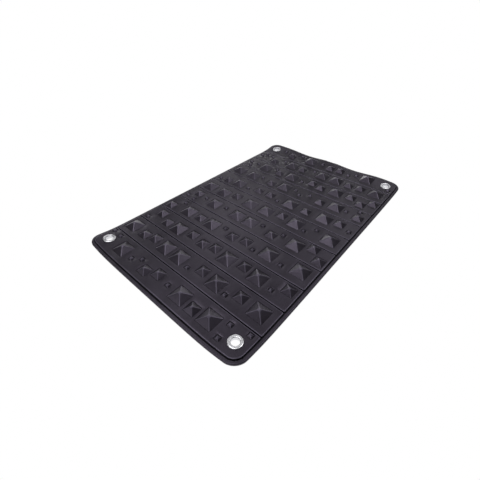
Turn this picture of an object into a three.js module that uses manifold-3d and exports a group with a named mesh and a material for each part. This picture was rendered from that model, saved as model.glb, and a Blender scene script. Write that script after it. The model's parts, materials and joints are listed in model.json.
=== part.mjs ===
// Seedling heat mat: a studded black rubber mat in eleven strips, which rolls up along the grooves
// between them, with a low-voltage film heater sealed inside and an eyelet in each corner.
// Millimetres, +Z up, +X along the mat's length, origin at the centre of its underside.
import * as THREE from "three";
import { mergeVertices } from "three/addons/utils/BufferGeometryUtils.js";
import Module from "manifold-3d";

const wasm = await Module();
wasm.setup();

// Driving dimensions of the mat.
const LENGTH = 538;
const WIDTH = 338;
const CORNER_RADIUS = 20.5;
const STRIPS = 11;
const PITCH = 48; // groove to groove
const GROOVE = 1.6; // width of the grooves between the strips, and of the one inside the rim
const RIM = 4.6; // width of the raised rim
const BASE_TOP = 2.4; // thickness of the base sheet, which is also the floor of every groove
const RIM_TOP = 3.6;
const PANEL_TOP = 5.5;

// The base sheet is one moulding. Here it is cut at each fold, so these are the gaps of the cut.
const FOLD_GAP = 0.3; // up to the fold's axis, at BASE_TOP
const RIM_FOLD_GAP = 1; // above it, where the rim closes up as the mat folds

// The studs are four-sided pyramids: side of the base, and height over the panel.
const STUD_SIZES = {
  large: { side: 25.5, height: 8.5 },
  medium: { side: 17, height: 6.6 },
  small: { side: 8, height: 3.5 },
};
const STUD_ROOT = 0.5; // how far each pyramid runs on down into its panel

// The studs are scattered by eye: each is [across, along], its place from the strip's centre line in
// X and from the mat's centre in Y.
const STUDS = [
  {
    large: [[0, 104], [0, -40], [0, -97]],
    medium: [[-5, 38], [4, 15], [-4, -69]],
    small: [[16, 157], [14, 136], [-4, 75], [6, 60], [0, -12], [-12, -124], [12, -123], [17, -152]],
  },
  {
    large: [[0, 144], [0, 54], [0, 20], [0, -62], [2, -139]],
    medium: [[-3, 109], [3, 86], [4, -30], [5, -105]],
    small: [[-7, -6], [-7, -85]],
  },
  {
    large: [[-2, 78], [-1, -39], [0, -100]],
    medium: [[8, 136], [-4, 107], [3, 45], [-2, 16], [4, -8], [4, -71], [10, -148]],
    small: [[-16, 150], [-6, -128]],
  },
  {
    large: [[-3, 104], [-2, 43], [2, -82], [4, -140]],
    medium: [[-10, 148], [-3, 72], [-4, -9], [2, -35]],
    small: [[12, 132], [5, 15], [-7, -56], [-5, -110]],
  },
  {
    large: [[0, 86], [0, 26], [0, -6], [1, -102]],
    medium: [[6, 137], [-4, -56], [13, -130], [-8, -150]],
    small: [[-12, 152], [-16, 131], [3, 112], [4, 58], [7, -30], [9, -73]],
  },
  {
    large: [[-5, 140], [-5, 101], [-2, 32], [0, -6], [3, -70], [1, -139]],
    medium: [[2, 70], [7, -38]],
    small: [[-6, -92], [11, -109]],
  },
  {
    large: [[-3, 101], [1, -28], [2, -102]],
    medium: [[-8, 130], [1, 50], [3, 22], [0, -64], [6, -131]],
    small: [[-12, 150], [-7, 74], [-6, -1], [-4, -153]],
  },
  {
    large: [[-3, 141], [-3, 101], [1, 18], [3, -100]],
    medium: [[-5, 50], [-2, -68], [-4, -148]],
    small: [[3, 79], [6, -7], [-6, -22], [7, -41], [3, -122], [18, -144]],
  },
  {
    large: [[-1, 103], [0, 31], [4, -75]],
    medium: [[-3, 63], [6, -19], [0, -42], [7, -107], [-5, -132], [13, -151]],
    small: [[8, 77], [-2, 3], [-14, 142], [1, 150], [2, 128]],
  },
  {
    large: [[1, 61], [2, -19], [3, -52], [4, -140]],
    medium: [[-7, 109], [-1, 32], [1, -83], [5, -107]],
    small: [[8, 86], [10, 5], [12, 145], [10, 126], [0, 152]],
  },
  {
    large: [[1, 39], [2, -102]],
    medium: [[-4, 91], [-2, -15], [2, -38]],
    small: [[5, 115], [12, 68], [4, 8], [-4, -61], [5, -77], [-11, -154]],
  },
];

// Eyelets, one in each corner.
const EYELET_X = 242;
const EYELET_Y = 144;
const EYELET_BORE = 6; // radius of the hole through the mat
const EYELET_WALL = 0.6;
const EYELET_FLANGE = 10.4; // outer radius
const EYELET_TOP = 6.8;
const WASHER_SEAT = 1.3; // depth of the recess under the mat that the washer lies in
const SLACK = 0.3; // between a piece and the hole that it sits in

// The heater's layers, in a pocket in the base sheet under each strip.
const POCKET_FLOOR = 0.8;
const POCKET_MARGIN = 3; // from a fold to the pocket
const POCKET_HALF_WIDTH = 152;
const END_POCKET_HALF_WIDTH = 128; // in the two end strips, which hold the eyelets
const POCKET_END = 250; // the end strips' pockets stop here
const INSULATION = 0.7;
const FILM_BOTTOM = 1.6;
const FILM = 0.2;
const BUS_BAR = 0.15; // its height over the film
const BUS_BAR_WIDTH = 8;

// The supply, in the last strip: a flat socket in the panel's end face, and what it feeds.
const SOCKET = { depth: 12.3, halfWidth: 9, bottom: 2.5, top: 4.6 };
const SOCKET_MOUTH = { depth: 8.5, halfWidth: 6, bottom: 2.95, top: 4.15 };
const PLUG_GAP = 10; // half the width of the gap in the rim that the plug comes in through
const WIRING_SPACE = { from: 238, halfWidth: 18, top: 4.7 };
const BLADE = { centre: 3, width: 2, from: 247, tip: 260.5, bottom: 3.35, top: 3.75, foot: 2.3 };
const FEED = { width: 5, bottom: 2.05, top: 2.2 };
const CUTOUT = { from: 239, to: 245.5, near: 6, far: 16, bottom: 2.45, top: 4.1 };

// Sizes that follow from these.
const PANEL_HALF_LENGTH = LENGTH / 2 - RIM - GROOVE;
const PANEL_HALF_WIDTH = WIDTH / 2 - RIM - GROOVE;
const PANEL_RADIUS = CORNER_RADIUS - RIM - GROOVE;
const FAR = 1000; // beyond every edge

// ---- Solids ----

// A closed three.js geometry as a manifold solid.
function solid(geometry) {
  const bare = geometry.clone();
  bare.deleteAttribute("normal");
  bare.deleteAttribute("uv");
  const merged = mergeVertices(bare, 1e-4);
  return new wasm.Manifold(
    new wasm.Mesh({
      numProp: 3,
      vertProperties: merged.attributes.position.array,
      triVerts: new Uint32Array(merged.index.array),
    }),
  );
}

// A manifold solid as a three.js geometry.
function geometryOf(manifold) {
  const mesh = manifold.getMesh();
  const geometry = new THREE.BufferGeometry();
  geometry.setAttribute("position", new THREE.BufferAttribute(mesh.vertProperties, 3));
  geometry.setIndex(new THREE.BufferAttribute(mesh.triVerts, 1));
  const flat = geometry.toNonIndexed();
  flat.computeVertexNormals();
  return flat;
}

// A block from its lowest to its highest corner.
function block(x0, y0, z0, x1, y1, z1) {
  const geometry = new THREE.BoxGeometry(x1 - x0, y1 - y0, z1 - z0);
  geometry.translate((x0 + x1) / 2, (y0 + y1) / 2, (z0 + z1) / 2);
  return solid(geometry);
}

// A plate with rounded corners, centred on the origin.
function roundedPlate(halfX, halfY, radius, bottom, top) {
  const outline = new THREE.Shape();
  outline.absarc(halfX - radius, halfY - radius, radius, 0, Math.PI / 2);
  outline.absarc(radius - halfX, halfY - radius, radius, Math.PI / 2, Math.PI);
  outline.absarc(radius - halfX, radius - halfY, radius, Math.PI, 1.5 * Math.PI);
  outline.absarc(halfX - radius, radius - halfY, radius, 1.5 * Math.PI, 2 * Math.PI);
  const options = { depth: top - bottom, bevelEnabled: false, curveSegments: 8 };
  const geometry = new THREE.ExtrudeGeometry(outline, options);
  geometry.translate(0, 0, bottom);
  return solid(geometry);
}

// A ring or a disc turned about a vertical axis at x, y, from its [radius, height] profile.
function turned(profile, x, y) {
  const points = profile.map(([radius, height]) => new THREE.Vector2(radius, height));
  points.push(points[0].clone());
  const geometry = new THREE.LatheGeometry(points, 24);
  geometry.rotateX(Math.PI / 2); // the lathe turns about Y: this stands its axis up along Z
  geometry.translate(x, y, 0);
  return solid(geometry);
}

function drill(radius, x, y, bottom, top) {
  const geometry = new THREE.CylinderGeometry(radius, radius, top - bottom, 24);
  geometry.rotateX(Math.PI / 2);
  geometry.translate(x, y, (bottom + top) / 2);
  return solid(geometry);
}

// A pyramid stud, whose sides run on STUD_ROOT below the panel's face.
function stud({ side, height }, x, y) {
  const full = height + STUD_ROOT;
  const baseSide = side * (full / height);
  const geometry = new THREE.ConeGeometry(baseSide / Math.SQRT2, full, 4);
  geometry.rotateY(Math.PI / 4); // sides along X and Y
  geometry.rotateX(Math.PI / 2);
  geometry.translate(x, y, PANEL_TOP - STUD_ROOT + full / 2);
  return solid(geometry);
}

// ---- The mat's whole sheets, which the strips are cut from ----

const wholeBase = roundedPlate(LENGTH / 2, WIDTH / 2, CORNER_RADIUS, 0, BASE_TOP);
const wholeRim = roundedPlate(LENGTH / 2, WIDTH / 2, CORNER_RADIUS, BASE_TOP / 2, RIM_TOP).subtract(
  roundedPlate(
    PANEL_HALF_LENGTH + GROOVE,
    PANEL_HALF_WIDTH + GROOVE,
    PANEL_RADIUS + GROOVE,
    0,
    FAR,
  ),
);
const wholePanel = roundedPlate(
  PANEL_HALF_LENGTH,
  PANEL_HALF_WIDTH,
  PANEL_RADIUS,
  BASE_TOP,
  PANEL_TOP,
);

// What lies between the two folds of a strip, less a gap at each. An end strip is open outwards.
function between(strip, gap) {
  const from = strip.first ? -FAR : strip.from + gap / 2;
  const to = strip.last ? FAR : strip.to - gap / 2;
  return block(from, -FAR, -FAR, to, FAR, FAR);
}

const strips = Array.from({ length: STRIPS }, (_, index) => {
  const centre = (index - (STRIPS - 1) / 2) * PITCH;
  const first = index === 0;
  const last = index === STRIPS - 1;
  const side = first ? -1 : 1;
  return {
    index,
    centre,
    first,
    last,
    label: String(index + 1).padStart(2, "0"),
    from: centre - PITCH / 2,
    to: centre + PITCH / 2,
    eyelets: first || last ? [[side * EYELET_X, -EYELET_Y], [side * EYELET_X, EYELET_Y]] : [],
  };
});

// The extent of a strip's heater pocket, or of a layer that leaves some slack in it.
function pocketExtent(strip, slack) {
  const halfWidth = strip.first || strip.last ? END_POCKET_HALF_WIDTH : POCKET_HALF_WIDTH;
  return {
    x0: (strip.first ? -POCKET_END : strip.from + POCKET_MARGIN) + slack,
    x1: (strip.last ? POCKET_END : strip.to - POCKET_MARGIN) - slack,
    y: halfWidth - slack,
  };
}

// ---- Pieces of one strip ----

function studPanel(strip) {
  let panel = wholePanel.intersect(between(strip, GROOVE));
  for (const [size, places] of Object.entries(STUDS[strip.index])) {
    for (const [across, along] of places) {
      panel = panel.add(stud(STUD_SIZES[size], strip.centre + across, along));
    }
  }
  for (const [x, y] of strip.eyelets) {
    panel = panel.subtract(drill(EYELET_BORE + EYELET_WALL + SLACK, x, y, 0, FAR));
  }
  return strip.last ? panel.subtract(supplySpace()) : panel;
}

function baseSheet(strip) {
  const pocket = pocketExtent(strip, 0);
  let base = wholeBase
    .intersect(between(strip, FOLD_GAP))
    .add(wholeRim.intersect(between(strip, RIM_FOLD_GAP)))
    .subtract(block(pocket.x0, -pocket.y, POCKET_FLOOR, pocket.x1, pocket.y, FAR));
  for (const [x, y] of strip.eyelets) {
    base = base
      .subtract(drill(EYELET_BORE + EYELET_WALL + SLACK, x, y, -1, FAR))
      .subtract(drill(EYELET_FLANGE + SLACK, x, y, -1, WASHER_SEAT));
  }
  if (strip.last) {
    base = base.subtract(block(PANEL_HALF_LENGTH, -PLUG_GAP, BASE_TOP, FAR, PLUG_GAP, FAR));
  }
  return base;
}

function insulation(strip) {
  const { x0, x1, y } = pocketExtent(strip, SLACK);
  return block(x0, -y, POCKET_FLOOR, x1, y, POCKET_FLOOR + INSULATION);
}

// The heating film, with a copper bus bar printed along each of its long ends.
function heaterFilm(strip) {
  const { x0, x1, y } = pocketExtent(strip, SLACK);
  const top = FILM_BOTTOM + FILM;
  return block(x0, -y, FILM_BOTTOM, x1, y, top)
    .add(block(x0, y - BUS_BAR_WIDTH, FILM_BOTTOM, x1, y, top + BUS_BAR))
    .add(block(x0, -y, FILM_BOTTOM, x1, BUS_BAR_WIDTH - y, top + BUS_BAR));
}

// ---- Eyelets ----

function eyelet(x, y) {
  const flangeBottom = PANEL_TOP + 0.1;
  const wall = EYELET_BORE + EYELET_WALL;
  return turned(
    [
      [EYELET_BORE, 0.6],
      [EYELET_BORE + 0.5, 0.1],
      [EYELET_BORE + 2.3, 0.1], // the clinched lip, under the washer
      [EYELET_BORE + 2.3, 0.6],
      [wall, 0.6],
      [wall, flangeBottom],
      [EYELET_FLANGE, flangeBottom],
      [EYELET_FLANGE - 0.3, flangeBottom + 0.8],
      [EYELET_FLANGE - 1, EYELET_TOP],
      [EYELET_BORE + 1.2, EYELET_TOP],
      [EYELET_BORE + 0.3, EYELET_TOP - 0.5],
      [EYELET_BORE, flangeBottom],
    ],
    x,
    y,
  );
}

function washer(x, y) {
  const inner = EYELET_BORE + EYELET_WALL + SLACK;
  return turned([[inner, 0.7], [EYELET_FLANGE, 0.7], [EYELET_FLANGE, 1.2], [inner, 1.2]], x, y);
}

// ---- The supply, in the last strip ----

const socketBack = PANEL_HALF_LENGTH - SOCKET.depth;

// The space in the panel's underside for the socket, and for the wiring behind it.
function supplySpace() {
  const y = SOCKET.halfWidth + SLACK;
  const behind = WIRING_SPACE;
  return block(behind.from, -behind.halfWidth, 0, socketBack, behind.halfWidth, behind.top).add(
    block(socketBack - SLACK, -y, 0, FAR, y, WIRING_SPACE.top),
  );
}

function socketHousing() {
  const front = PANEL_HALF_LENGTH;
  const mouth = SOCKET_MOUTH;
  let housing = block(
    socketBack,
    -SOCKET.halfWidth,
    SOCKET.bottom,
    front,
    SOCKET.halfWidth,
    SOCKET.top,
  ).subtract(
    block(front - mouth.depth, -mouth.halfWidth, mouth.bottom, FAR, mouth.halfWidth, mouth.top),
  );
  for (const side of [-1, 1]) {
    const y = side * BLADE.centre;
    const half = BLADE.width / 2 + 0.2;
    housing = housing.subtract(
      block(0, y - half, BLADE.bottom - 0.2, front - 1, y + half, BLADE.top + 0.2),
    );
  }
  return housing;
}

// A contact blade, with a leg behind the socket down to the feed strip.
function contactBlade(side) {
  const y = side * BLADE.centre;
  const half = BLADE.width / 2;
  const leg = BLADE.from + (BLADE.top - BLADE.bottom);
  return block(BLADE.from, y - half, BLADE.bottom, BLADE.tip, y + half, BLADE.top).add(
    block(BLADE.from, y - half, BLADE.foot, leg, y + half, BLADE.top),
  );
}

// A flat copper strip from a contact blade to the bus bar on its side of the mat.
function feedStrip(side) {
  const { y } = pocketExtent(strips[STRIPS - 1], SLACK);
  const ends = [side * 1.5, side * (y - BUS_BAR_WIDTH / 2)].sort((a, b) => a - b);
  const to = POCKET_END - SLACK;
  return block(to - FEED.width, ends[0], FEED.bottom, to, ends[1], FEED.top);
}

function thermalCutout() {
  const c = CUTOUT;
  return block(c.from, c.near, c.bottom, c.to, c.far, c.top);
}

// ---- The assembly ----

const mat = new THREE.Group();
mat.name = "seedling_heat_mat";

function place(group, name, manifold, color, roughness, metalness) {
  const material = new THREE.MeshStandardMaterial({ color, roughness, metalness });
  const mesh = new THREE.Mesh(geometryOf(manifold), material);
  mesh.name = name;
  group.add(mesh);
}

for (const strip of strips) {
  const group = new THREE.Group();
  group.name = "strip_" + strip.label;
  place(group, "stud_panel_" + strip.label, studPanel(strip), 0x26252a, 0.6, 0);
  place(group, "base_sheet_" + strip.label, baseSheet(strip), 0x1f1e22, 0.65, 0);
  place(group, "heater_film_" + strip.label, heaterFilm(strip), 0x141416, 0.4, 0);
  place(group, "insulation_" + strip.label, insulation(strip), 0xc9c7c0, 0.95, 0);
  strip.eyelets.forEach(([x, y], i) => {
    const label = strip.label + (i ? "_b" : "_a");
    place(group, "eyelet_" + label, eyelet(x, y), 0xe4e6ea, 0.12, 1);
    place(group, "eyelet_washer_" + label, washer(x, y), 0xc4c6ca, 0.3, 1);
  });
  if (strip.last) {
    place(group, "power_socket", socketHousing(), 0x101012, 0.45, 0);
    place(group, "thermal_cutout", thermalCutout(), 0xb8b9bc, 0.35, 1);
    for (const [side, pole] of [[-1, "negative"], [1, "positive"]]) {
      place(group, "contact_blade_" + pole, contactBlade(side), 0xc9a24a, 0.3, 1);
      place(group, "feed_strip_" + pole, feedStrip(side), 0xb8683c, 0.35, 1);
    }
  }
  mat.add(group);
}

export default mat;
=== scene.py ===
"""A roll-up heat mat of studded black rubber, seen from above its near corner.

Shapes are worked out in millimetres, in the part's own frame, and scaled to metres as each piece is
made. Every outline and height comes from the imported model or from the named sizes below.
"""
import json
import math

import bmesh
import bpy
from mathutils import Matrix, Vector
from mathutils.geometry import delaunay_2d_cdt


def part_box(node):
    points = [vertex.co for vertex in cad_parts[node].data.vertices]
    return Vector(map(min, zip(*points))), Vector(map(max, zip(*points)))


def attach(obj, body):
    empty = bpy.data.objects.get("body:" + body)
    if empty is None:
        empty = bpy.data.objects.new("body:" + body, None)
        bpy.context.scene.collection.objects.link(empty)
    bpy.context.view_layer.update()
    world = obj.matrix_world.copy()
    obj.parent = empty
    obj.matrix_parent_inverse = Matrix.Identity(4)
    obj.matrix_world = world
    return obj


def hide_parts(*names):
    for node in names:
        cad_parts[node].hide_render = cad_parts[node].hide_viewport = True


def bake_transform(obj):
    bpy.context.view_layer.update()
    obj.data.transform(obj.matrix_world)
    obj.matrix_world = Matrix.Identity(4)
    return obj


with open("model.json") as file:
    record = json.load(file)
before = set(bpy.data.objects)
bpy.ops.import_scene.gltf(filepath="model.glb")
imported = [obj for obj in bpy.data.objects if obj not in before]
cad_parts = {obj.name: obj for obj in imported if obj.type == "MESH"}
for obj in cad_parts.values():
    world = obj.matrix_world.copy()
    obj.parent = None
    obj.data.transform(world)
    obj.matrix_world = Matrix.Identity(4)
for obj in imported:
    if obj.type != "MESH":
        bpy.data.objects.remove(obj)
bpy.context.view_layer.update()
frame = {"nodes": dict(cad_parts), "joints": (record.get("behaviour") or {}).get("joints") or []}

MM = 0.001
STRIPS = 11

# ---- Sizes, in millimetres ----


def node_box(node):
    """Lowest and highest corner of a CAD node, in millimetres."""
    low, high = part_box(node)
    return low / MM, high / MM


def label(strip):
    return f"{strip:02d}"


folds = sorted(frame["joints"], key=lambda joint: joint["pos_m"][0])
FOLD_X = [joint["pos_m"][0] / MM for joint in folds]
GROOVE_FLOOR = folds[0]["pos_m"][2] / MM
MAT_LOW = node_box("base_sheet_01")[0]
MAT_HIGH = node_box("base_sheet_11")[1]
RIM_TOP = MAT_HIGH.z
RIM = 4.6  # its width
GROOVE = 1.6  # width of the groove between the rim and the panels
MAT_CORNER = 20.5  # radius
PANEL_TOP = 5.5

PANEL_CORNER = 1.3  # radius of a panel's inner corners, seen from above
PANEL_EDGE = 1.0  # rounding of a panel's upper edges
EDGE_LINE = 0.25  # width of flat beside the rounding that gets the painted highlight with it
GRID = 8  # spacing of the points inside a flat face

# A stud's base side, the radius of its ridges and the depth of the moat round it, by its height.
STUD_SIZES = {8.5: (25.5, 1.7, 0.35), 6.6: (17.0, 1.3, 0.45), 3.5: (6.6, 0.7, 0.6)}
MOAT_BANK = 0.5  # width of the moat's outer bank
SMALL_STUD = 4  # studs up to this high get the painted highlight nearly down to their feet
STUD_SHARES = (0.7, 0.4)  # shares of a stud's base side that it has at the levels on its faces
STUD_GAP = 0.05  # least flat between a stud's moat and the painted highlight line along an edge

# ---- Materials ----


def new_material(name):
    material = bpy.data.materials.new(name)
    material.use_nodes = True
    tree = material.node_tree
    shader = next(n for n in tree.nodes if n.type == "BSDF_PRINCIPLED")
    place = tree.nodes.new("ShaderNodeTexCoord")
    return material, tree, shader, place.outputs["Object"]


def noise(tree, place, scale, detail=2.0, roughness=0.5):
    """A noise texture with about scale features to the metre. Returns its 0 to 1 output."""
    node = tree.nodes.new("ShaderNodeTexNoise")
    node.inputs["Scale"].default_value = scale
    node.inputs["Detail"].default_value = detail
    node.inputs["Roughness"].default_value = roughness
    tree.links.new(place, node.inputs["Vector"])
    return node.outputs["Fac"]


def ramp(tree, value, low, high, start=0.3, end=0.7):
    """Maps value from start..end to low..high, which are colours or numbers."""
    if isinstance(low, (int, float)):
        node = tree.nodes.new("ShaderNodeMapRange")
        ends = {"From Min": start, "From Max": end, "To Min": low, "To Max": high}
        for socket, number in ends.items():
            node.inputs[socket].default_value = number
        tree.links.new(value, node.inputs["Value"])
        return node.outputs["Result"]
    node = tree.nodes.new("ShaderNodeValToRGB")
    for element, place, colour in zip(node.color_ramp.elements, (start, end), (low, high)):
        element.position = place
        element.color = (*colour, 1)
    tree.links.new(value, node.inputs["Fac"])
    return node.outputs["Color"]


def bump(tree, shader, layers):
    """Stacks bump layers, each (height output, distance in metres, strength), onto the shader."""
    normal = None
    for height, distance, strength in layers:
        node = tree.nodes.new("ShaderNodeBump")
        node.inputs["Distance"].default_value = distance
        node.inputs["Strength"].default_value = strength
        tree.links.new(height, node.inputs["Height"])
        if normal:
            tree.links.new(normal, node.inputs["Normal"])
        normal = node.outputs["Normal"]
    tree.links.new(normal, shader.inputs["Normal"])


def rubber(name, dark, light, roughness, specular=0.54):
    """Moulded rubber or plastic: a fine grain, faint clouds in its colour, and an uneven sheen."""
    material, tree, shader, place = new_material(name)
    grain = noise(tree, place, 1500, 3)
    pebble = noise(tree, place, 520, 2)
    clouds = noise(tree, place, 45, 3)
    dimples = noise(tree, place, 220, 2)
    waves = noise(tree, place, 14, 1)
    tree.links.new(ramp(tree, clouds, dark, light), shader.inputs["Base Color"])
    low, high = roughness
    tree.links.new(ramp(tree, clouds, low, high), shader.inputs["Roughness"])
    shader.inputs["Specular IOR Level"].default_value = specular
    shader.inputs["Specular Tint"].default_value = (0.865, 0.755, 1, 1)
    bump(
        tree, shader,
        [(waves, 0.0012, 0.25), (dimples, 0.0004, 0.4), (pebble, 0.0002, 0.5), (grain, 0.00005, 0.5)],
    )
    return material


def metal(name, colour, roughness, grain_scale=900):
    """Plated metal with a faint unevenness in its polish."""
    material, tree, shader, place = new_material(name)
    polish = noise(tree, place, grain_scale, 3)
    shader.inputs["Metallic"].default_value = 1
    low, high = roughness
    tree.links.new(ramp(tree, polish, low, high), shader.inputs["Roughness"])
    tree.links.new(
        ramp(tree, polish, [0.94 * c for c in colour], colour), shader.inputs["Base Color"]
    )
    bump(tree, shader, [(polish, 0.00001, 0.1)])
    return material


def felt(name, colour):
    material, tree, shader, place = new_material(name)
    fibres = noise(tree, place, 1800, 6, 0.7)
    tree.links.new(
        ramp(tree, fibres, [0.7 * c for c in colour], colour), shader.inputs["Base Color"]
    )
    shader.inputs["Roughness"].default_value = 0.95
    shader.inputs["Sheen Weight"].default_value = 0.3
    bump(tree, shader, [(fibres, 0.0002, 0.8)])
    return material


def printed_film(name):
    """Polyester film with carbon ink printed on it in bars along the mat's length."""
    material, tree, shader, place = new_material(name)
    bars = tree.nodes.new("ShaderNodeTexWave")
    bars.bands_direction = "Y"
    bars.inputs["Scale"].default_value = 25
    bars.inputs["Distortion"].default_value = 0
    tree.links.new(place, bars.inputs["Vector"])
    ink = ramp(tree, bars.outputs["Fac"], (0.012, 0.012, 0.013), (0.16, 0.15, 0.13), 0.8, 0.84)
    tree.links.new(ink, shader.inputs["Base Color"])
    tree.links.new(
        ramp(tree, noise(tree, place, 700), 0.25, 0.4), shader.inputs["Roughness"]
    )
    return material


PANEL_RUBBER = rubber("panel_rubber", (0.0105, 0.009, 0.012), (0.016, 0.014, 0.019), (0.33, 0.38))
# Lighter rubber for painted highlights on the panels' rounded edges and the studs' ridges and tips.
HIGHLIGHT_RUBBER = rubber("painted_highlight_rubber", (0.052, 0.047, 0.064), (0.07, 0.063, 0.086), (0.3, 0.36))
# Near-black, low-sheen rubber for painted shade in the grooves, on the panels' walls and in the studs'
# moats.
SHADE_RUBBER = rubber("painted_shade_rubber", (0.003, 0.003, 0.0034), (0.005, 0.005, 0.006), (0.55, 0.65), 0.15)
BASE_RUBBER = rubber("base_rubber", (0.011, 0.0095, 0.013), (0.017, 0.015, 0.02), (0.36, 0.42), 0.5)
CHROME = metal("eyelet_chrome", (0.74, 0.74, 0.77), (0.26, 0.34))
# Darker chrome: painted shade for the inside of each eyelet's flange, next to the bore.
SHADE_CHROME = metal("eyelet_painted_shade_chrome", (0.26, 0.26, 0.28), (0.4, 0.5))
WASHER = metal("washer_steel", (0.72, 0.73, 0.75), (0.25, 0.4))
CAN = metal("cutout_steel", (0.6, 0.61, 0.62), (0.25, 0.4))
BRASS = metal("contact_brass", (0.78, 0.6, 0.27), (0.2, 0.32))
COPPER = metal("feed_copper", (0.8, 0.42, 0.25), (0.22, 0.36))
FILM = printed_film("heater_film")
FELT = felt("insulation_felt", (0.62, 0.61, 0.57))
SOCKET = rubber("socket_plastic", (0.012, 0.012, 0.013), (0.02, 0.02, 0.022), (0.35, 0.45))

# ---- Outlines and meshes ----


def rounded_ring(low, high, radii, inset, z, spacing=None):
    """Points anticlockwise round a rectangle with rounded corners, drawn in by inset, at height z.

    radii are those of the +X+Y, -X+Y, -X-Y and +X-Y corners. With a spacing, the straight sides get
    points about that far apart, as many whatever the inset.
    """
    arcs = []
    for quarter, radius in enumerate(radii):
        right, upper = quarter in (0, 3), quarter in (0, 1)
        drawn = max(radius - inset, 0.2)
        centre_x = high[0] - inset - drawn if right else low[0] + inset + drawn
        centre_y = high[1] - inset - drawn if upper else low[1] + inset + drawn
        steps = 16 if radius > 5 else 5
        angles = [(quarter + step / steps) * math.pi / 2 for step in range(steps + 1)]
        arcs.append(
            [(centre_x + drawn * math.cos(a), centre_y + drawn * math.sin(a), z) for a in angles]
        )
    points = []
    for quarter, corner in enumerate(arcs):
        points += corner
        if spacing:
            side = (high - low)[quarter % 2] - radii[quarter] - radii[(quarter + 1) % 4]
            start, end = Vector(corner[-1]), Vector(arcs[(quarter + 1) % 4][0])
            count = round(side / spacing)
            points += [tuple(start.lerp(end, step / count)) for step in range(1, count)]
    return points


def circle(x, y, radius, z, points=40):
    angles = [2 * math.pi * step / points for step in range(points)]
    return [(x + radius * math.cos(a), y + radius * math.sin(a), z) for a in angles]


def quarter_round(inset, z, radius, steps=4):
    """(inset, height) points of a convex upper edge, from the wall at inset up to the face at z."""
    angles = [math.pi / 2 * step / steps for step in range(steps + 1)]
    return [
        (inset + radius * (1 - math.cos(a)), z - radius * (1 - math.sin(a))) for a in angles
    ]


def inside(polygon, x, y):
    """Whether a point is inside a polygon, by counting the sides to one side of it."""
    found = False
    for (x0, y0, _), (x1, y1, _) in zip(polygon, polygon[1:] + polygon[:1]):
        if (y0 > y) != (y1 > y) and x < x0 + (y - y0) * (x1 - x0) / (y1 - y0):
            found = not found
    return found


def loft(bm, rings):
    """Faces between closed rings of points, each ring with as many points. Returns them by band."""
    made = [[bm.verts.new(point) for point in ring] for ring in rings]
    bands = []
    for lower, upper in zip(made, made[1:]):
        pairs = [(i, (i + 1) % len(lower)) for i in range(len(lower))]
        bands.append([bm.faces.new((lower[i], lower[j], upper[j], upper[i])) for i, j in pairs])
    return bands


def paint(faces, index):
    """Gives faces one of their piece's materials, by its place in the piece's list."""
    for face in faces:
        face.material_index = index


def flat_face(bm, outline, holes, margin=1.2):
    """A flat face with holes, in triangles, with points GRID apart inside it so that it can bend."""
    z = outline[0][2]
    loops = [outline, *holes]
    points, edges = [], []
    for loop in loops:
        first = len(points)
        points += [(x, y) for x, y, _ in loop]
        edges += [(first + i, first + (i + 1) % len(loop)) for i in range(len(loop))]
    xs, ys = [p[0] for p in outline], [p[1] for p in outline]
    columns = round((max(xs) - min(xs)) / GRID)
    rows = round((max(ys) - min(ys)) / GRID)
    for column in range(1, columns):
        for row in range(1, rows):
            x = min(xs) + (max(xs) - min(xs)) * column / columns
            y = min(ys) + (max(ys) - min(ys)) * row / rows
            near = any(
                min(p[0] for p in hole) - margin < x < max(p[0] for p in hole) + margin
                and min(p[1] for p in hole) - margin < y < max(p[1] for p in hole) + margin
                for hole in holes
            )
            if not near and inside(outline, x, y):
                points.append((x, y))
    face = list(range(len(outline)))
    found, _, triangles, *_ = delaunay_2d_cdt([Vector(p) for p in points], edges, [face], 1, 1e-5)
    verts = [bm.verts.new((p.x, p.y, z)) for p in found]
    for triangle in triangles:
        x = sum(found[i].x for i in triangle) / 3
        y = sum(found[i].y for i in triangle) / 3
        if not any(inside(hole, x, y) for hole in holes):
            bm.faces.new([verts[i] for i in triangle])


def turned(profile, x, y, second=(), segments=64):
    """A ring turned about a vertical axis, from its closed [radius, height] profile.

    The bands of it whose numbers are in second get its second material.
    """
    bm = bmesh.new()
    bands = loft(bm, [circle(x, y, radius, z, segments) for radius, z in [*profile, profile[0]]])
    for number in second:
        paint(bands[number], 1)
    return bm


# ---- How the mat lies ----

CORNER_LIFTS = {(-1, -1): 5.5, (-1, 1): 4.5, (1, 1): 3, (1, -1): 0}
CORNER_REACH = 34  # how far from its corner a lift fades away
END_LIFT = 3.6  # of the far end
END_WAVE = 1.4  # how much more or less than that it stands off along its waves
END_WAVE_LENGTH = 120
END_LIFT_FROM = 225  # the x where the far end begins to lift


def smooth(share):
    """0 below 0, 1 above 1, and a smooth step between."""
    share = min(max(share, 0), 1)
    return share * share * (3 - 2 * share)


def lift(x, y):
    """How far the mat stands off the surface: at its corners, and in waves along its far end."""
    height = 0
    for (sign_x, sign_y), tip in CORNER_LIFTS.items():
        away = math.hypot(x - sign_x * MAT_HIGH.x, y - sign_y * MAT_HIGH.y)
        height += tip * math.exp(-((away / CORNER_REACH) ** 2))
    wave = END_LIFT + END_WAVE * math.cos(2 * math.pi * y / END_WAVE_LENGTH)
    return height + wave * smooth((x - END_LIFT_FROM) / (MAT_HIGH.x - END_LIFT_FROM))


EDGE_BOWS = (1.7, 1.1)  # how far the -X and the -Y edge bow outwards in their middles
BOW_REACH = 16  # how far in from an edge the mat follows it


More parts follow.
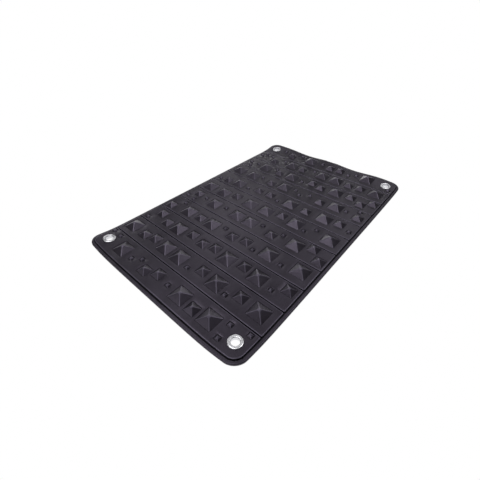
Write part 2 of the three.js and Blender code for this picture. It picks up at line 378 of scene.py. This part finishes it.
def bow(x, y):
    """How far the mat is drawn out towards its -X and -Y edges at x, y, as an (x, y) step."""
    near_x = smooth((BOW_REACH - MAT_HIGH.x - x) / BOW_REACH)
    near_y = smooth((BOW_REACH - MAT_HIGH.y - y) / BOW_REACH)
    middle_x = max(0, 1 - (x / (MAT_HIGH.x - MAT_CORNER)) ** 4)
    middle_y = max(0, 1 - (y / (MAT_HIGH.y - MAT_CORNER)) ** 4)
    return -EDGE_BOWS[0] * near_x * middle_y, -EDGE_BOWS[1] * near_y * middle_x


# ---- Pieces ----


def add_piece(name, bm, materials, nodes, body=None, sharp_degrees=35):
    """Welds and shades a mesh, lays it as the mat lies, and adds it for the CAD nodes it replaces."""
    bmesh.ops.remove_doubles(bm, verts=bm.verts, dist=0.002)
    bmesh.ops.dissolve_degenerate(bm, edges=bm.edges, dist=0.001)
    loose = [v for v in bm.verts if not v.link_faces]
    bmesh.ops.delete(bm, geom=loose, context="VERTS")
    bmesh.ops.recalc_face_normals(bm, faces=bm.faces)
    for face in bm.faces:
        face.smooth = True
    for edge in bm.edges:
        angle = edge.calc_face_angle(0)
        edge.smooth = angle < math.radians(sharp_degrees)
    for vertex in bm.verts:
        x, y, _ = vertex.co
        vertex.co += Vector((*bow(x, y), lift(x, y)))
    bm.transform(Matrix.Scale(MM, 4))
    mesh = bpy.data.meshes.new(name)
    bm.to_mesh(mesh)
    bm.free()
    piece = bpy.data.objects.new(name, mesh)
    bpy.context.scene.collection.objects.link(piece)
    for material in materials:
        mesh.materials.append(material)
    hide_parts(*nodes)
    if body:
        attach(piece, body)
    return piece


def eyelets(strip):
    """(x, y, its letter) of the eyelets in a strip, from the model."""
    found = []
    for letter in "ab":
        name = f"eyelet_{label(strip)}_{letter}"
        if name in frame["nodes"]:
            low, high = node_box(name)
            found.append(((low.x + high.x) / 2, (low.y + high.y) / 2, letter))
    return found


# ---- Studded panels ----

HIGHLIGHT_INDEX, SHADE_INDEX = 1, 2  # places of the painted-highlight and the painted-shade rubber in a panel's materials
MOAT_BANDS = 4  # how many of a stud's bands, from the outside in, get painted shade
TIP_BANDS = 3  # how many of them, from the tip outwards, get the painted highlight all round
SMALL_TIP_BANDS = 5  # the same, on a small stud
CORNER_STEPS = 4  # faces across a ridge


def studs_on(node):
    """(x, y, height) of each pyramid's tip: the CAD panel's points well above its face."""
    tips = {
        tuple(round(value / MM, 2) for value in vertex.co)
        for vertex in frame["nodes"][node].data.vertices
        if vertex.co.z / MM > PANEL_TOP + 2
    }
    return [(x, y, z - PANEL_TOP) for x, y, z in sorted(tips)]


def stud_ring(x, y, half, corner, z):
    """One level of a stud: a square with rounded corners, and points just beside its corners."""
    corner = min(corner, 0.85 * half)
    beside = min(0.5, (half - corner) / 2)
    points = []
    for quarter in range(4):
        angle = quarter * math.pi / 2
        local = [(half, half - corner - beside)]
        for step in range(CORNER_STEPS + 1):
            a = math.pi / 2 * step / CORNER_STEPS
            local.append((half - corner * (1 - math.cos(a)), half - corner * (1 - math.sin(a))))
        local.append((half - corner - beside, half))
        for u, v in local:
            px = x + u * math.cos(angle) - v * math.sin(angle)
            py = y + u * math.sin(angle) + v * math.cos(angle)
            points.append((px, py, z))
    return points


def stud_size(height):
    """A stud's half side, slope, ridge radius and moat depth."""
    nearest = min(STUD_SIZES, key=lambda known: abs(known - height))
    side, ridge, moat = STUD_SIZES[nearest]
    return side / 2, 2 * height / side, ridge, moat


def stud_reach(height):
    """Half the side of the square that a stud and its moat take up."""
    half, slope, _, moat = stud_size(height)
    return half + moat / slope + MOAT_BANK


def stud_rings(x, y, height):
    """The rings of a stud from the flat face round it, through the moat at its foot, to its tip."""
    half, slope, tip, moat = stud_size(height)
    foot = half + moat / slope
    levels = [
        (foot + MOAT_BANK, 0, 1.6),
        (foot + 0.8 * MOAT_BANK, -0.08 * moat, 1.6),
        (foot + 0.2 * MOAT_BANK, -0.85 * moat, 1.4),
        (foot, -moat, 1.2),
        (foot - 0.15, -moat + 0.12 * slope, 1.1),
        (half - 0.2, 0.2 * slope, tip),
    ]
    levels += [(half * share, half * (1 - share) * slope, tip) for share in STUD_SHARES]
    levels += [
        (1.6 * tip, height - 1.6 * tip * slope, tip),
        (tip, height - tip * slope, tip),
        (0.6 * tip, height - 0.68 * tip * slope, tip),
        (0.25 * tip, height - 0.53 * tip * slope, tip),
    ]
    rings = [stud_ring(x, y, size, corner, PANEL_TOP + z) for size, z, corner in levels]
    peak = (x, y, PANEL_TOP + height - 0.5 * tip * slope)
    return rings, peak


def stud(bm, x, y, height):
    """Adds a stud to a mesh, with painted shade in its moat and painted highlights on its ridges and
    tip. Returns its outline.
    """
    rings, peak = stud_rings(x, y, height)
    bands = loft(bm, rings)
    tip_from = len(bands) - (TIP_BANDS if height > SMALL_STUD else SMALL_TIP_BANDS)
    per_quarter = len(rings[0]) // 4
    crest = (CORNER_STEPS // 2, CORNER_STEPS // 2 + 1)
    # Painted shade in the moat, painted highlights along the ridges' crests and all round the tip.
    for number, band in enumerate(bands):
        if number < MOAT_BANDS:
            paint(band, SHADE_INDEX)
        elif number < tip_from:
            paint([face for i, face in enumerate(band) if i % per_quarter in crest], HIGHLIGHT_INDEX)
        else:
            paint(band, HIGHLIGHT_INDEX)
    top = [bm.verts.new(point) for point in rings[-1]]
    centre = bm.verts.new(peak)
    paint([bm.faces.new((a, b, centre)) for a, b in zip(top, top[1:] + top[:1])], HIGHLIGHT_INDEX)
    return rings[0]


def panel_sides(bm, strip, low, high):
    """Adds a panel's walls and rounded edge. Returns its lower and its upper face's outlines."""
    outer = MAT_CORNER - RIM - GROOVE
    right, left = outer if strip == STRIPS else PANEL_CORNER, outer if strip == 1 else PANEL_CORNER
    profile = [
        (0, GROOVE_FLOOR),
        *quarter_round(0, PANEL_TOP, PANEL_EDGE),
        (PANEL_EDGE + EDGE_LINE, PANEL_TOP),
    ]
    radii = (right, left, left, right)
    rings = [rounded_ring(low, high, radii, inset, z, GRID) for inset, z in profile]
    wall, _, *edge = loft(bm, rings)
    # Painted shade on the wall down to the groove, and a painted highlight along the rounded upper
    # edge.
    paint(wall, SHADE_INDEX)
    for band in edge:
        paint(band, HIGHLIGHT_INDEX)
    return rings[0], rings[-1]


def studs(bm, node, low, high):
    """Adds a panel's studs, each kept clear of the panel's edge. Returns their outlines."""
    outlines = []
    for x, y, height in studs_on(node):
        room = PANEL_EDGE + EDGE_LINE + stud_reach(height) + STUD_GAP
        x = min(max(x, low.x + room), high.x - room)
        y = min(max(y, low.y + room), high.y - room)
        outlines.append(stud(bm, x, y, height))
    return outlines


def stud_panel(strip):
    """One strip's panel: rounded edges, its studs, and the holes for its eyelets."""
    node = "stud_panel_" + label(strip)
    low, high = node_box(node)
    bm = bmesh.new()
    bottom, top = panel_sides(bm, strip, low, high)
    holes = studs(bm, node, low, high)
    drilled = []
    for x, y, _ in eyelets(strip):
        upper, lower = (circle(x, y, EYELET_HOLE, z) for z in (PANEL_TOP, GROOVE_FLOOR))
        loft(bm, [upper, lower])
        holes.append(upper)
        drilled.append(lower)
    flat_face(bm, top, holes)
    flat_face(bm, bottom, drilled)
    materials = [PANEL_RUBBER, HIGHLIGHT_RUBBER, SHADE_RUBBER]
    add_piece("panel_" + label(strip), bm, materials, [node], "strip_" + label(strip))


# ---- Base sheet ----

EYELET_HOLE = 6.9  # radius, in the rubber
WASHER_RECESS = 10.7  # radius
WASHER_RECESS_DEPTH = 1.3
POCKET_SLACK = 0.3  # between the felt and the walls of its pocket
CUT_DEPTH = 5  # more than the base is thick
HOLE_ENDS = (-2, 6)  # below and above the base
RECESS_FROM = -2.5  # below the base
GAP_LENGTH = 20  # from the socket to well beyond the rim
RIM_ROUNDING = 1.7  # of the rim's outer upper edge
RIM_INNER_ROUNDING = 0.6
PLUG_GAP = 10  # half the width of the gap in the rim that the plug comes in through
BEND = 1.4  # the web bends from this far before a fold to as far after it
BEND_SLICES = (-1, -0.7, -0.45, -0.25, 0, 0.25, 0.45, 0.7, 1)  # its cuts, as shares of BEND
BASE_MATERIALS = [BASE_RUBBER, SHADE_RUBBER]


def whole_base():
    """The one-piece base sheet with its rim, before the holes are cut."""
    outside = [(1.4, 0), (0.7, 0), (0.35, 0.09), (0.1, 0.35), (0, 0.7)]
    outside += quarter_round(0, RIM_TOP, RIM_ROUNDING, 6)
    crown = [(2.2, RIM_TOP), (RIM - 1, RIM_TOP)]
    turn = [
        (RIM - RIM_INNER_ROUNDING * math.cos(a), RIM_TOP - RIM_INNER_ROUNDING * (1 - math.sin(a)))
        for a in (math.radians(degrees) for degrees in (90, 67, 45, 22, 0))
    ]
    fillet = [
        (RIM, GROOVE_FLOOR + 0.2), (RIM + 0.06, GROOVE_FLOOR + 0.06),
        (RIM + 0.2, GROOVE_FLOOR), (RIM + 0.6, GROOVE_FLOOR),
    ]
    profile = [*outside, *crown, *turn, *fillet]
    rings = [rounded_ring(MAT_LOW, MAT_HIGH, [MAT_CORNER] * 4, inset, z) for inset, z in profile]
    bm = bmesh.new()
    loft(bm, rings)
    for ring in (rings[0], rings[-1]):
        bm.faces.new([bm.verts.new(point) for point in ring])
    return closed(bm)


def closed(bm):
    """The same mesh with its patches welded and its faces turned outwards."""
    bmesh.ops.remove_doubles(bm, verts=bm.verts, dist=0.002)
    bmesh.ops.recalc_face_normals(bm, faces=bm.faces)
    return bm


def block(bm, middle, size):
    bmesh.ops.create_cube(bm, size=1, matrix=Matrix.LocRotScale(Vector(middle), None, Vector(size)))


def drill(bm, x, y, radius, bottom, top):
    at = Matrix.Translation((x, y, (bottom + top) / 2))
    bmesh.ops.create_cone(
        bm, cap_ends=True, segments=40, radius1=radius, radius2=radius, depth=top - bottom, matrix=at
    )


def cutters():
    """What is cut from the base: the plug's gap, the heater pockets, and the eyelets' holes."""
    bm = bmesh.new()
    gap_from = node_box("power_socket")[1].x
    middle = (gap_from + GAP_LENGTH / 2, 0, GROOVE_FLOOR + CUT_DEPTH / 2)
    block(bm, middle, (GAP_LENGTH, 2 * PLUG_GAP, CUT_DEPTH))
    for strip in range(1, STRIPS + 1):
        low, high = node_box("insulation_" + label(strip))
        width, length = high.x - low.x + 2 * POCKET_SLACK, high.y - low.y + 2 * POCKET_SLACK
        middle = ((low.x + high.x) / 2, (low.y + high.y) / 2, low.z + CUT_DEPTH / 2)
        block(bm, middle, (width, length, CUT_DEPTH))
        for x, y, _ in eyelets(strip):
            drill(bm, x, y, EYELET_HOLE, *HOLE_ENDS)
            drill(bm, x, y, WASHER_RECESS, RECESS_FROM, WASHER_RECESS_DEPTH)
    return bm


def temporary_object(bm):
    mesh = bpy.data.meshes.new("temporary")
    bm.to_mesh(mesh)
    bm.free()
    made = bpy.data.objects.new("temporary", mesh)
    bpy.context.scene.collection.objects.link(made)
    return made


def cut(body, tool):
    """body less tool, as a mesh of triangles."""
    target, cutter = temporary_object(body), temporary_object(tool)
    modifier = target.modifiers.new("cut", "BOOLEAN")
    modifier.operation = "DIFFERENCE"
    modifier.solver = "EXACT"
    modifier.use_self = True
    modifier.object = cutter
    graph = bpy.context.evaluated_depsgraph_get()
    result = bmesh.new()
    result.from_mesh(target.evaluated_get(graph).to_mesh())
    for used in (target, cutter):
        bpy.data.objects.remove(used)
    bmesh.ops.triangulate(result, faces=result.faces)
    return closed(result)


def slice_at(bm, x=None, y=None, keep=None):
    """Cuts a mesh at a plane. With keep "above" or "below", drops the rest and closes the cut."""
    at, normal = ((x, 0, 0), (1, 0, 0)) if y is None else ((0, y, 0), (0, 1, 0))
    geometry = [*bm.verts, *bm.edges, *bm.faces]
    made = bmesh.ops.bisect_plane(
        bm, geom=geometry, dist=1e-4, plane_co=at, plane_no=normal,
        clear_inner=keep == "above", clear_outer=keep == "below",
    )
    if keep:
        rim = [e for e in made["geom_cut"] if isinstance(e, bmesh.types.BMEdge)]
        bmesh.ops.triangle_fill(bm, edges=rim, use_beauty=True)


def inset_at(x, y):
    """How far a point is in from the mat's outline."""
    across, along = MAT_HIGH.x - abs(x), MAT_HIGH.y - abs(y)
    if max(across, along) < MAT_CORNER:
        return MAT_CORNER - math.hypot(MAT_CORNER - across, MAT_CORNER - along)
    return min(across, along)


def base_piece(whole, start, end):
    """The stretch of the base between two planes across it, with points GRID apart.

    The floor of its groove and the inner wall of its rim get painted shade.
    """
    bm = whole.copy()
    if start is not None:
        slice_at(bm, x=start, keep="above")
    if end is not None:
        slice_at(bm, x=end, keep="below")
    low, high = (MAT_LOW.x if start is None else start), (MAT_HIGH.x if end is None else end)
    for step in range(1, round((high - low) / GRID)):
        slice_at(bm, x=low + step * GRID)
    for step in range(1, round((MAT_HIGH.y - MAT_LOW.y) / GRID)):
        slice_at(bm, y=MAT_LOW.y + step * GRID)
    # Painted shade on the groove's floor and the rim's inner wall.
    for face in bm.faces:
        middle = face.calc_center_median()
        if middle.z > GROOVE_FLOOR - 0.1 and inset_at(middle.x, middle.y) > RIM - 0.3:
            face.material_index = BASE_MATERIALS.index(SHADE_RUBBER)
    return bm


def base_sheet():
    """The base in twelve pieces, cut at the middle of each strip.

    The two ends ride on a strip each, and the other ten bend across a fold each.
    """
    whole = cut(whole_base(), cutters())
    middles = [(a + b) / 2 for a, b in zip(FOLD_X, FOLD_X[1:])]
    pitch = FOLD_X[1] - FOLD_X[0]
    middles = [middles[0] - pitch, *middles, middles[-1] + pitch]
    for strip, start, end in ((1, None, middles[0]), (STRIPS, middles[-1], None)):
        number = label(strip)
        bm = base_piece(whole, start, end)
        nodes = ["base_sheet_" + number]
        add_piece("base_end_" + number, bm, BASE_MATERIALS, nodes, "strip_" + number)
    for index, fold in enumerate(FOLD_X):
        before, after = label(index + 1), label(index + 2)
        bm = base_piece(whole, middles[index], middles[index + 1])
        for share in BEND_SLICES:
            slice_at(bm, x=fold + BEND * share)
        nodes = ["base_sheet_" + before, "base_sheet_" + after]
        piece = add_piece(f"base_fold_{before}_{after}", bm, BASE_MATERIALS, nodes)
        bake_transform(piece)
    whole.free()


# ---- Eyelets ----

EYELET_BORE = 6  # radius
EYELET_FLANGE = 10.2  # radius
EYELET_TOP = 6.8
DOME_STEPS = 16  # bands of the flange's dome
SHADE_STEPS = 4  # how many of them, next to the bore, get painted shade


def arc(centre_r, centre_z, radius, start, end, steps=6):
    """(radius, height) points on an arc of a turned profile, from start to end in degrees."""
    angles = [math.radians(start + (end - start) * step / steps) for step in range(steps + 1)]
    return [(centre_r + radius * math.cos(a), centre_z + radius * math.sin(a)) for a in angles]


def eyelet(strip, x, y, letter):
    """A rolled metal eyelet: a domed flange on the panel, a barrel, and the lip clinched below."""
    seat = PANEL_TOP + 0.05
    brim = seat + 0.3
    half = (EYELET_FLANGE - EYELET_BORE) / 2
    angles = [math.pi * step / DOME_STEPS for step in range(DOME_STEPS + 1)]
    dome = [
        (EYELET_BORE + half * (1 + math.cos(a)), brim + (EYELET_TOP - brim) * math.sin(a) ** 0.8)
        for a in angles
    ]
    lip = [
        (EYELET_BORE + 2.1, 0.1), (EYELET_BORE + 2.3, 0.35), (EYELET_BORE + 2.1, 0.6),
        (EYELET_BORE + 0.7, 0.6), (EYELET_BORE + 0.6, 0.8), (EYELET_BORE + 0.6, seat),
    ]
    roll = arc(EYELET_BORE + 0.7, 0.8, 0.7, 180, 270)
    profile = [(EYELET_FLANGE - 0.3, seat), *dome, (EYELET_BORE, 1.0), *roll, *lip]
    name = f"eyelet_{label(strip)}_{letter}"
    # The dome's bands next to the bore get painted shade.
    ring = turned(profile, x, y, second=range(len(dome) - SHADE_STEPS, len(dome)))
    materials = [CHROME, SHADE_CHROME]
    add_piece("rolled_" + name, ring, materials, [name], "strip_" + label(strip), 50)


def washer(strip, x, y, letter):
    """A flat washer with rounded edges, let into the mat's underside."""
    thickness, bottom = 0.5, 0.7
    middle, half = bottom + thickness / 2, thickness / 2
    profile = [
        *arc(EYELET_FLANGE - half, middle, half, -90, 90),
        *arc(EYELET_HOLE + half, middle, half, 90, 270),
    ]
    name = f"eyelet_washer_{label(strip)}_{letter}"
    ring = turned(profile, x, y)
    add_piece("pressed_" + name, ring, [WASHER], [name], "strip_" + label(strip), 50)


# ---- Layers and electrical pieces inside ----

BUS_BAR = 8  # width of each bus bar


def from_node(node):
    """A CAD node's mesh in millimetres."""
    bm = bmesh.new()
    bm.from_mesh(frame["nodes"][node].data)
    bm.transform(Matrix.Scale(1 / MM, 4))
    return closed(bm)


def layer(strip, kind, materials):
    """One length of the film or felt, with points GRID apart so that it lies as the mat does.

    The two ends of the film get its second material, for the bus bars.
    """
    node = f"{kind}_{label(strip)}"
    bm = from_node(node)
    low, high = node_box(node)
    for step in range(1, round((high.x - low.x) / GRID)):
        slice_at(bm, x=low.x + step * GRID)
    for step in range(1, round((high.y - low.y) / GRID)):
        slice_at(bm, y=low.y + step * GRID)
    if len(materials) > 1:
        bars_from = high.y - BUS_BAR
        for face in bm.faces:
            if abs(face.calc_center_median().y) > bars_from:
                face.material_index = 1
    add_piece(f"{kind}_layer_{label(strip)}", bm, materials, [node], "strip_" + label(strip))


def small_part(node, material, edge):
    """A small piece of the supply, with its edges rounded."""
    bm = from_node(node)
    bmesh.ops.dissolve_limit(bm, angle_limit=math.radians(1), verts=bm.verts, edges=bm.edges)
    sharp = [e for e in bm.edges if e.calc_face_angle(0) > math.radians(40)]
    bmesh.ops.bevel(
        bm, geom=sharp, offset=edge, segments=3, profile=0.6, affect="EDGES", clamp_overlap=True
    )
    add_piece(node + "_body", bm, [material], [node], "strip_" + label(STRIPS))


# ---- Camera, floor and light, in metres ----

CAMERA_PLACE = (-0.3702, -0.2642, 0.3199)
CAMERA_TARGET = (-0.0972, -0.0239, 0.005)
CAMERA_LENS = 21.26

# Each soft light's azimuth and elevation in degrees, distance, size and power.
LIGHTS = {
    "high_left": (135, 65, 1.0, (0.45, 0.45), 2.64),
    "high_right": (325, 60, 1.0, (0.45, 0.45), 2.4),
    "overhead": (200, 76, 1.0, (0.4, 0.4), 1.2),
    "high_back": (66, 50, 1.0, (0.45, 0.45), 0.3),
    "right_back": (0, 40, 1.0, (0.45, 0.45), 0.48),
    "left_back": (45, 40, 1.0, (0.45, 0.45), 0.61),
    "low_back": (30, 5, 0.9, (1.2, 0.14), 1.6),
    "low_left_back": (90, 15, 1.0, (0.45, 0.45), 0.93),
    "front": (180, 25, 0.9, (1.2, 0.3), 1.98),
}
SURROUND_STRENGTH = 0.13
FLOOR_HALF, BACKDROP_RADIUS = 60, 6
FLOOR_DROP = 0.0003  # how far the floor is below the mat


def look_at(thing, place, target):
    thing.location = place
    thing.rotation_mode = "QUATERNION"
    thing.rotation_quaternion = (Vector(target) - Vector(place)).to_track_quat("-Z", "Y")
    bpy.context.scene.collection.objects.link(thing)


def make_camera():
    data = bpy.data.cameras.new("camera")
    data.sensor_width = 36
    data.lens = CAMERA_LENS
    camera = bpy.data.objects.new("camera", data)
    look_at(camera, CAMERA_PLACE, CAMERA_TARGET)
    bpy.context.scene.camera = camera


def area_light(name, azimuth, elevation, distance, size, power):
    """A soft light at azimuth and elevation, in degrees, that faces the middle of the mat."""
    data = bpy.data.lights.new(name, "AREA")
    data.shape = "RECTANGLE"
    data.size, data.size_y = size
    data.energy = power
    around, up = math.radians(azimuth), math.radians(elevation)
    level = distance * math.cos(up)
    place = (level * math.cos(around), level * math.sin(around), distance * math.sin(up))
    look_at(bpy.data.objects.new(name, data), place, (0, 0, 0))


def staged(name, bm, material, height=0):
    """Adds a mesh in metres as part of the studio."""
    mesh = bpy.data.meshes.new(name)
    bm.to_mesh(mesh)
    bm.free()
    mesh.materials.append(material)
    thing = bpy.data.objects.new(name, mesh)
    thing.location.z = height
    bpy.context.scene.collection.objects.link(thing)
    return thing


def studio_white():
    """Plain white that glows evenly, so that nothing shades it."""
    material, _, shader, _ = new_material("studio_white")
    shader.inputs["Base Color"].default_value = (0, 0, 0, 1)
    shader.inputs["Specular IOR Level"].default_value = 0
    shader.inputs["Emission Color"].default_value = (1, 1, 1, 1)
    shader.inputs["Emission Strength"].default_value = 1
    return material


def make_room():
    """A plain white floor, and a backdrop that is seen but lights nothing."""
    white = studio_white()
    ground, dome = bmesh.new(), bmesh.new()
    bmesh.ops.create_grid(ground, x_segments=1, y_segments=1, size=FLOOR_HALF)
    bmesh.ops.create_uvsphere(dome, u_segments=64, v_segments=32, radius=BACKDROP_RADIUS)
    staged("floor", ground, white, -FLOOR_DROP)
    backdrop = staged("backdrop", dome, white)
    backdrop.visible_diffuse = backdrop.visible_glossy = backdrop.visible_shadow = False


def make_lights():
    """A dim even surround, and soft lights round the mat and above it."""
    world = bpy.data.worlds.new("surround")
    world.use_nodes = True
    background = world.node_tree.nodes["Background"]
    background.inputs["Color"].default_value = (1, 1, 1, 1)
    background.inputs["Strength"].default_value = SURROUND_STRENGTH
    bpy.context.scene.world = world
    bpy.context.scene.view_settings.view_transform = "Standard"
    for name, values in LIGHTS.items():
        area_light(name, *values)


make_camera()
make_room()
make_lights()
for strip in range(1, STRIPS + 1):
    stud_panel(strip)
    layer(strip, "heater_film", [FILM, COPPER])
    layer(strip, "insulation", [FELT])
    for x, y, letter in eyelets(strip):
        eyelet(strip, x, y, letter)
        washer(strip, x, y, letter)
base_sheet()
small_part("power_socket", SOCKET, 0.15)
small_part("thermal_cutout", CAN, 0.3)
for pole in ("negative", "positive"):
    small_part("contact_blade_" + pole, BRASS, 0.08)
    small_part("feed_strip_" + pole, COPPER, 0.04)
